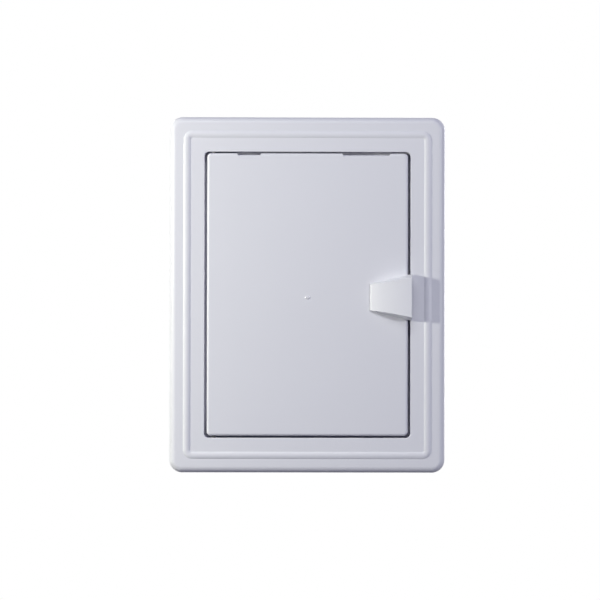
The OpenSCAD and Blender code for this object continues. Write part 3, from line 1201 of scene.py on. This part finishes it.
@dataclass
class PullHandle:
    """The arched wedge at the door's free edge.

    Sizes are in millimetres, and heights are above the door's face.

    Attributes:
        low_front: Height of the arched face at the low end.
        bulge: Rise of the arched face above a flat one.
        face_low_w: Width of the face at the low end.
        face_tip_w: Width of the face at the tip.
        cheek_lean: How far the cheeks lean out, as a share of their height.
        cheek_t: Thickness of the cheeks beside the hollow.
        hollow: Length of the finger hollow.
        tip_t: Thickness of the tip.
        tip_drop: How much the hollow's roof drops behind the tip.
        low_round: Length of the rounding at the low end.
        low_drop: Depth of the rounding at the low end.
        low_steps: Facets along the rounding at the low end.
        rounding: Rounding of the outer edges.
        stations: Facets along the face.
        bond: How far the tool for the hollow overshoots.
    """

    low_front: float = 1.2
    bulge: float = 1.4
    face_low_w: float = 16.3
    face_tip_w: float = 25.0
    cheek_lean: float = 0.22
    cheek_t: float = 2.0
    hollow: float = 11.2
    tip_t: float = 1.6
    tip_drop: float = 0.8
    low_round: float = 0.7
    low_drop: float = 0.55
    low_steps: int = 7
    rounding: float = 0.3
    stations: int = 24
    bond: float = 0.5

    def __post_init__(self) -> None:
        """Takes the handle's place from the frame."""
        low, high = (Vector(v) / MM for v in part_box("pull_handle"))
        self.start_x = low.x
        self.length = high.x - low.x
        self.middle_z = (low.z + high.z) / 2
        self.base = -high.y
        self.high_front = high.y - low.y

    def face_front(self, along: float) -> float:
        """Gives the height of the arched face.

        Args:
            along: Distance from the low end.

        Returns:
            The height above the door's face.
        """
        climb = self.high_front - self.low_front
        chord = math.hypot(self.length, climb)
        radius = ((chord / 2) ** 2 + self.bulge**2) / (2 * self.bulge)
        middle_u = self.length / 2 + (radius - self.bulge) * climb / chord
        middle_front = self.low_front + climb / 2 - (radius - self.bulge) * self.length / chord
        drop = self.low_drop * max(0.0, 1 - along / self.low_round) ** 2
        return middle_front + math.sqrt(radius**2 - (along - middle_u) ** 2) - drop

    def half_width(self, along: float, front: float) -> float:
        """Gives half the handle's width between its leaning cheeks.

        Args:
            along: Distance from the low end.
            front: Height above the door's face.

        Returns:
            Half the width there.
        """
        low = self.face_low_w / 2 + self.cheek_lean * self.low_front
        tip = self.face_tip_w / 2 + self.cheek_lean * self.high_front
        return low + (tip - low) * along / self.length - self.cheek_lean * front

    def wedge(self) -> bmesh.types.BMesh:
        """Makes the solid wedge under the arched face.

        Returns:
            The closed mesh.
        """
        mesh = bmesh.new()
        turn = [self.low_round * k / self.low_steps for k in range(self.low_steps)]
        run = self.length - self.low_round
        spots = turn + [self.low_round + run * k / self.stations for k in range(self.stations + 1)]
        outline = [(u, 0.0) for u in spots] + [(u, self.face_front(u)) for u in reversed(spots)]
        sides: list[list[bmesh.types.BMVert]] = []
        for side in (-1, 1):
            row: list[bmesh.types.BMVert] = []
            for along, front in outline:
                z = self.middle_z + side * self.half_width(along, front)
                row.append(mesh.verts.new(place(self.start_x + along, z, self.base + front)))
            sides.append(row)
        count = len(outline)
        for k in range(count):
            after = (k + 1) % count
            mesh.faces.new((sides[0][k], sides[0][after], sides[1][after], sides[1][k]))
        for row in sides:
            for k in range(len(spots) - 1):
                mesh.faces.new((row[k], row[k + 1], row[count - 2 - k], row[count - 1 - k]))
        bmesh.ops.recalc_face_normals(mesh, faces=mesh.faces)
        return mesh

    def hollow_tool(self) -> bmesh.types.BMesh:
        """Makes the tool for the hollow that a finger reaches into from the tip.

        Returns:
            The tool's mesh.
        """
        foot = self.length - self.hollow
        under = self.high_front - self.tip_t
        beyond = self.length + self.bond
        outline = (
            (foot, -self.bond),
            (foot, 0.0),
            (self.length - self.tip_t, under - self.tip_drop),
            (self.length, under),
            (beyond, under),
            (beyond, -self.bond),
        )
        half = self.face_tip_w / 2 - self.cheek_t
        lower, upper = (
            [place(self.start_x + along, self.middle_z + z, self.base + front) for along, front in outline]
            for z in (-half, half)
        )
        return prism(lower, upper)

    def build(self, finishes: Finishes) -> bpy.types.Object:
        """Makes and dresses the handle.

        Args:
            finishes: The hatch's finishes.

        Returns:
            The handle's piece.
        """
        outside = self.wedge()
        soften(outside, self.rounding)
        piece = new_piece("pull_handle_moulding", outside)
        carve(piece, Cut.REMOVE, [self.hollow_tool()])
        smooth(piece, crease=40)
        dress(piece, finishes.shell, Body.DOOR)
        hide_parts("pull_handle")
        return piece


@dataclass
class SmallParts:
    """The hinge pins, the handle's screws and the latch tongue.

    Sizes are in millimetres.

    Attributes:
        pin_chamfer: Chamfer of the pins' ends.
        head_r: Radius of the screws' heads.
        head_h: Height of the heads.
        head_edge: How far the heads draw in at their lower edge.
        head_steps: Facets along the dome of a head.
        shank_r: Radius of the shanks.
        point_r: Radius of the shanks' ends.
        point_l: Length of the taper towards the shanks' ends.
        recess_w: Width of the cross recess's arms.
        recess_l: Length of the arms.
        recess_depth: Depth of the recess.
        blade_round: Rounding of the latch's edges.
        bond: How far the tools for the recess overshoot.
    """

    pin_chamfer: float = 0.35
    head_r: float = 2.8
    head_h: float = 1.9
    head_edge: float = 0.15
    head_steps: int = 8
    shank_r: float = 1.45
    point_r: float = 0.87
    point_l: float = 1.2
    recess_w: float = 0.7
    recess_l: float = 3.0
    recess_depth: float = 1.2
    blade_round: float = 0.2
    bond: float = 0.5

    def pin(self, name: str, node: str, finishes: Finishes) -> bpy.types.Object:
        """Makes one hinge pin with chamfered ends.

        Args:
            name: The piece's name.
            node: The pin's node.
            finishes: The hatch's finishes.

        Returns:
            The pin's piece.
        """
        low, high = (Vector(v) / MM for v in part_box(node))
        radius = (high.x - low.x) / 2
        length = high.z - low.z
        cut = self.pin_chamfer
        profile = [
            (0, 0),
            (radius - cut, 0),
            (radius, cut),
            (radius, length - cut),
            (radius - cut, length),
            (0, length),
        ]
        shape = turned(profile)
        middle = (low + high) / 2
        shape.transform(Matrix.Translation(Vector((middle.x, middle.y, low.z)) * MM))
        piece = new_piece(name, shape)
        smooth(piece)
        dress(piece, finishes.pin, Body.SURROUND)
        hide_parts(node)
        return piece

    def screws(self, finishes: Finishes) -> bpy.types.Object:
        """Makes the two screws with domed, cross-recessed heads.

        Args:
            finishes: The hatch's finishes.

        Returns:
            The screws' piece.
        """
        low, high = (Vector(v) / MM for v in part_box("handle_screws"))
        reach = high.y - low.y
        seat = reach - self.head_h
        turns = [math.radians(90 * k / self.head_steps) for k in range(1, self.head_steps)]
        profile = [
            (0, 0),
            (self.point_r, 0),
            (self.shank_r, self.point_l),
            (self.shank_r, seat),
            (self.head_r - self.head_edge, seat),
            *((self.head_r * math.cos(turn), seat + self.head_h * math.sin(turn)) for turn in turns),
            (0, reach),
        ]
        shapes: list[bmesh.types.BMesh] = []
        slots: list[bmesh.types.BMesh] = []
        stand = Matrix.Rotation(math.radians(-90), 4, "X")
        middle_x = (low.x + high.x) / 2
        for z in (low.z + self.head_r, high.z - self.head_r):
            screw = turned(profile)
            screw.transform(Matrix.Translation(Vector((middle_x, low.y, z)) * MM) @ stand)
            shapes.append(screw)
            for wide, tall in ((self.recess_l, self.recess_w), (self.recess_w, self.recess_l)):
                near = Vector((middle_x - wide / 2, high.y - self.recess_depth, z - tall / 2)) * MM
                far = Vector((middle_x + wide / 2, high.y + self.bond, z + tall / 2)) * MM
                slots.append(block(near, far))
        piece = new_piece("handle_screw_pair", joined(shapes))
        carve(piece, Cut.REMOVE, slots)
        smooth(piece)
        dress(piece, finishes.zinc, Body.DOOR)
        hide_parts("handle_screws")
        return piece

    def latch(self, finishes: Finishes) -> bpy.types.Object:
        """Dresses the latch tongue, whose solid already has its shape.

        Args:
            finishes: The hatch's finishes.

        Returns:
            The latch's node.
        """
        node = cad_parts["latch_tongue"]
        node.data.materials.clear()
        node.data.materials.append(finishes.spring)
        round_edges = node.modifiers.new("round_edges", "BEVEL")
        round_edges.width = self.blade_round * MM
        round_edges.segments = 2
        round_edges.limit_method = "ANGLE"
        return node

    def build(self, finishes: Finishes) -> list[bpy.types.Object]:
        """Makes every small part.

        Args:
            finishes: The hatch's finishes.

        Returns:
            The parts' pieces.
        """
        return [
            self.pin("upper_pin", "upper_hinge_pin", finishes),
            self.pin("lower_pin", "lower_hinge_pin", finishes),
            self.screws(finishes),
            self.latch(finishes),
        ]


# Studio


def white_to_look_at(tree: bpy.types.NodeTree) -> bpy.types.NodeSocket:
    """Adds a switch that is on for rays from the camera, off mirrors and through glass.

    Args:
        tree: The tree that gets the switch.

    Returns:
        The switch's output.
    """
    path = tree.nodes.new("ShaderNodeLightPath")
    mirrored = tree.nodes.new("ShaderNodeMath")
    mirrored.operation = "MAXIMUM"
    through = tree.nodes.new("ShaderNodeMath")
    through.operation = "MAXIMUM"
    tree.links.new(path.outputs["Is Camera Ray"], mirrored.inputs[0])
    tree.links.new(path.outputs["Is Glossy Ray"], mirrored.inputs[1])
    tree.links.new(mirrored.outputs["Value"], through.inputs[0])
    tree.links.new(path.outputs["Is Transmission Ray"], through.inputs[1])
    return through.outputs["Value"]


@dataclass(frozen=True)
class Lamp:
    """A rectangular soft light aimed at a point.

    Attributes:
        name: The lamp's name.
        spot: Its place in metres.
        aim: The point that it faces.
        size: Its width and height in metres.
        power: Its power in watts.
        colour: Its colour.
    """

    name: str
    spot: tuple[float, float, float]
    aim: tuple[float, float, float]
    size: tuple[float, float]
    power: float
    colour: Colour

    def hang(self) -> bpy.types.Object:
        """Adds the lamp to the scene.

        Returns:
            The lamp's object.
        """
        data = bpy.data.lights.new(self.name, "AREA")
        data.shape = "RECTANGLE"
        data.size, data.size_y = self.size
        data.energy = self.power
        data.color = self.colour
        lamp = bpy.data.objects.new(self.name, data)
        lamp.location = self.spot
        lamp.rotation_euler = (Vector(self.aim) - Vector(self.spot)).to_track_quat("-Z", "Y").to_euler()
        bpy.context.scene.collection.objects.link(lamp)
        return lamp


@dataclass
class Studio:
    """The camera, the lamps, the white surround and the floor.

    Attributes:
        frame_px: Width of the picture in pixels.
        flange_px: Width of the flange in the picture.
        flange_mm: Width of the flange in millimetres.
        middle_px: Place of the flange's middle in the picture.
        distance: Distance of the camera in metres.
        azimuth: Turn of the camera to the right, in degrees.
        elevation: Lift of the camera, in degrees.
        roll: Turn of the camera about its own axis, in degrees.
        sensor: Width of the camera's sensor in millimetres.
        flange_front: Height of the aimed point above the wall's face, in millimetres.
        ambient: Light of the surround.
        floor_drop: Depth of the floor below the hatch, in metres.
        floor_size: Length of the floor's sides in metres.
        floor_colour: Colour of the floor where it is lit.
        floor_light: Strength of the white that the camera sees on the floor.
        floor_glow: Share of that white in the floor's looks.
    """

    frame_px: float = 600.0
    flange_px: float = 275.0
    flange_mm: float = 172.0
    middle_px: tuple[float, float] = (307.25, 294.9)
    distance: float = 2.2
    azimuth: float = -1.0
    elevation: float = -0.7
    roll: float = 0.12
    sensor: float = 36.0
    flange_front: float = 1.0
    ambient: Colour = (0.012, 0.012, 0.12)
    floor_drop: float = 0.9
    floor_size: float = 6.0
    floor_colour: Colour = (0.25, 0.25, 0.27)
    floor_light: float = 1.12
    floor_glow: float = 0.85

    def lamps(self) -> list[Lamp]:
        """Lists the lamps.

        Returns:
            A small grazing key at the left, a broad top light, a far one at the right and two behind.
        """
        middle = (0.0, 0.0, 0.0)
        return [
            Lamp("key_left", (-0.6, -0.257, 0.093), middle, (0.07, 0.07), 3.4, (1.0, 1.0, 0.88)),
            Lamp("overhead", (-0.12, -0.9, 0.74), middle, (0.5, 0.4), 3.2, (0.98, 0.99, 1.0)),
            Lamp("main_right", (1.77, -1.86, 0.43), middle, (0.25, 0.25), 21.0, (0.97, 0.98, 1.0)),
            Lamp("rear_left", (-0.9, 1.2, 0.6), middle, (0.6, 0.6), 3.0, (1.0, 0.99, 0.98)),
            Lamp("rear_right", (0.9, 1.1, 0.2), middle, (0.6, 0.6), 5.0, (0.96, 0.97, 1.0)),
        ]

    def camera(self) -> bpy.types.Object:
        """Adds the camera so that the flange takes its place and width in the picture.

        Returns:
            The camera's object.
        """
        per_px = self.flange_mm / self.flange_px * MM
        right = (self.frame_px / 2 - self.middle_px[0]) * per_px
        up = (self.middle_px[1] - self.frame_px / 2) * per_px
        target = Vector((right, -self.flange_front * MM, up))
        turn, lift = math.radians(self.azimuth), math.radians(self.elevation)
        level = math.cos(lift)
        towards = Vector((math.sin(turn) * level, -math.cos(turn) * level, math.sin(lift)))
        data = bpy.data.cameras.new("camera")
        data.sensor_width = self.sensor
        data.lens = self.sensor * self.distance / (per_px * self.frame_px)
        data.clip_end = 50
        seat = bpy.data.objects.new("camera", data)
        seat.location = target + towards * self.distance
        aim = (-towards).to_track_quat("-Z", "Y").to_matrix().to_4x4()
        seat.rotation_euler = (aim @ Matrix.Rotation(math.radians(self.roll), 4, "Z")).to_euler()
        bpy.context.scene.collection.objects.link(seat)
        bpy.context.scene.camera = seat
        return seat

    def surround(self) -> None:
        """Sets a world that is white to look at and a soft cool light to be lit by."""
        world = bpy.data.worlds.new("white_surround")
        bpy.context.scene.world = world
        world.use_nodes = True
        tree = world.node_tree
        tree.nodes.clear()
        lit = tree.nodes.new("ShaderNodeBackground")
        lit.inputs["Color"].default_value = (*self.ambient, 1)
        seen = tree.nodes.new("ShaderNodeBackground")
        seen.inputs["Color"].default_value = (1, 1, 1, 1)
        mix = tree.nodes.new("ShaderNodeMixShader")
        out = tree.nodes.new("ShaderNodeOutputWorld")
        tree.links.new(white_to_look_at(tree), mix.inputs["Fac"])
        tree.links.new(lit.outputs["Background"], mix.inputs[1])
        tree.links.new(seen.outputs["Background"], mix.inputs[2])
        tree.links.new(mix.outputs["Shader"], out.inputs["Surface"])

    def floor(self) -> bpy.types.Object:
        """Adds a pale floor below the hatch that looks white and keeps a faint shadow.

        Returns:
            The floor's object.
        """
        low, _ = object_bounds()
        level = low[2] - self.floor_drop
        half = self.floor_size / 2
        mesh = bmesh.new()
        corners = [(-half, -half), (half, -half), (half, half), (-half, half)]
        mesh.faces.new([mesh.verts.new((x, y, level)) for x, y in corners])
        piece = new_piece("floor", mesh)
        material = bpy.data.materials.new("pale_floor")
        material.use_nodes = True
        tree = material.node_tree
        tree.nodes.remove(tree.nodes["Principled BSDF"])
        matt = tree.nodes.new("ShaderNodeBsdfDiffuse")
        matt.inputs["Color"].default_value = (*self.floor_colour, 1)
        glow = tree.nodes.new("ShaderNodeEmission")
        glow.inputs["Color"].default_value = (1, 1, 1, 1)
        glow.inputs["Strength"].default_value = self.floor_light
        share = tree.nodes.new("ShaderNodeMath")
        share.operation = "MULTIPLY"
        share.inputs[1].default_value = self.floor_glow
        mix = tree.nodes.new("ShaderNodeMixShader")
        tree.links.new(white_to_look_at(tree), share.inputs[0])
        tree.links.new(share.outputs["Value"], mix.inputs["Fac"])
        tree.links.new(matt.outputs["BSDF"], mix.inputs[1])
        tree.links.new(glow.outputs["Emission"], mix.inputs[2])
        tree.links.new(mix.outputs["Shader"], tree.nodes["Material Output"].inputs["Surface"])
        piece.data.materials.append(material)
        piece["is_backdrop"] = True
        return piece

    def build(self) -> None:
        """Sets the whole studio up."""
        bpy.context.scene.view_settings.view_transform = "Standard"
        self.camera()
        self.surround()
        self.floor()
        for lamp in self.lamps():
            lamp.hang()


def main() -> None:
    """Builds the hatch's pieces and the studio around them."""
    logging.basicConfig(level=logging.INFO, format="%(name)s: %(message)s")
    finishes = Finishes()
    pieces = [FrameMoulding().build(finishes), DoorLeaf().build(finishes), PullHandle().build(finishes)]
    pieces += SmallParts().build(finishes)
    for piece in pieces:
        LOG.info("%s: %d faces", piece.name, len(piece.data.polygons))
    Studio().build()


if __name__ == "__main__":
    main()
